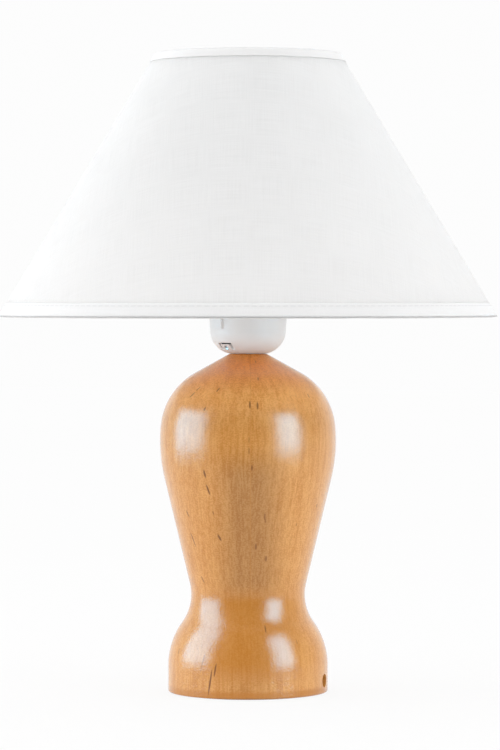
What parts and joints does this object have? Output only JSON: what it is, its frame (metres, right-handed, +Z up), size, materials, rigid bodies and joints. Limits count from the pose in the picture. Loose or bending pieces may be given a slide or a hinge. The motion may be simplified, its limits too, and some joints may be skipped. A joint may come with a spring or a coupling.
{
  "type": "bedside lamp",
  "caption": "Bedside lamp with a turned wood base, a plastic bulb holder and a white fabric cone shade that turns on the holder.",
  "frame": {"origin": "middle of the foot, at the height of the table", "axes": "+Z up along the turned axis, +X out through the cord hole"},
  "size_m": [0.273, 0.273, 0.3491],
  "materials": {
    "lacquered_wood": "clear gloss lacquer over light orange wood",
    "felt": "pressed felt",
    "zinc_steel": "zinc plated",
    "white_plastic": "moulded, semi-gloss",
    "screw_steel": "nickel plated",
    "block_ceramic": "unglazed",
    "brass": "bright",
    "contact_brass": "spring temper",
    "shell_metal": "rolled sheet",
    "ring_nut_plastic": "moulded, semi-gloss",
    "white_wire_paint": "white powder coat",
    "liner_plastic": "smooth white sheet",
    "shade_fabric": "fine plain weave",
    "hem_tape": "plain weave tape, stitched look",
    "solder": "soft solder",
    "black_insulator": "smooth black",
    "cap_metal": "nickel plated sheet",
    "bulb_plastic": "moulded, semi-gloss",
    "board": "circuit board",
    "led_board": "white solder mask on metal",
    "opal_plastic": "opal, satin"
  },
  "bodies": {
    "lamp": {"wood_base": "lacquered_wood", "base_felt": "felt", "threaded_tube": "zinc_steel", "base_washer": "zinc_steel", "base_nut": "zinc_steel", "holder_cap": "white_plastic", "lock_screw": "screw_steel", "terminal_block": "block_ceramic", "terminal_clamp_left": "brass", "terminal_clamp_right": "brass", "terminal_screw_left": "screw_steel", "terminal_screw_right": "screw_steel", "centre_contact": "contact_brass", "screw_shell": "shell_metal", "holder_skirt": "white_plastic"},
    "shade": {"fitter_ring": "white_wire_paint", "shade_arm_back": "white_wire_paint", "shade_arm_left": "white_wire_paint", "shade_arm_right": "white_wire_paint", "bottom_wire_ring": "white_wire_paint", "top_wire_ring": "white_wire_paint", "shade_liner": "liner_plastic", "shade_fabric": "shade_fabric", "bottom_hem": "hem_tape", "top_hem": "hem_tape"},
    "ring_nut": {"shade_ring_nut": "ring_nut_plastic"},
    "bulb_tip": {"bulb_contact": "solder"},
    "bulb": {"bulb_insulator": "black_insulator", "bulb_cap": "cap_metal", "bulb_housing": "bulb_plastic", "bulb_driver_board": "board", "bulb_led_board": "led_board", "bulb_diffuser": "opal_plastic"}
  },
  "joints": [
    {"name": "shade_turn", "type": "hinge", "parent": "lamp", "child": "shade", "pos_m": [0, 0, 0.2076], "axis": [0, 0, 1], "continuous": true},
    {"name": "ring_nut_travel", "type": "slide", "parent": "lamp", "child": "ring_nut", "axis": [0, 0, 1], "range_m": [0, 0.028]},
    {"name": "bulb_rise", "type": "slide", "parent": "lamp", "child": "bulb_tip", "axis": [0, 0, 1], "range_m": [0, 0.01452]},
    {"name": "bulb_turn", "type": "hinge", "parent": "bulb_tip", "child": "bulb", "pos_m": [0, 0, 0.2146], "axis": [0, 0, 1], "range_deg": [0, 1440]}
  ],
  "couplings": [
    {"joint": "bulb_rise", "follows": "bulb_turn", "m_per_rad": 0.00057757}
  ]
}
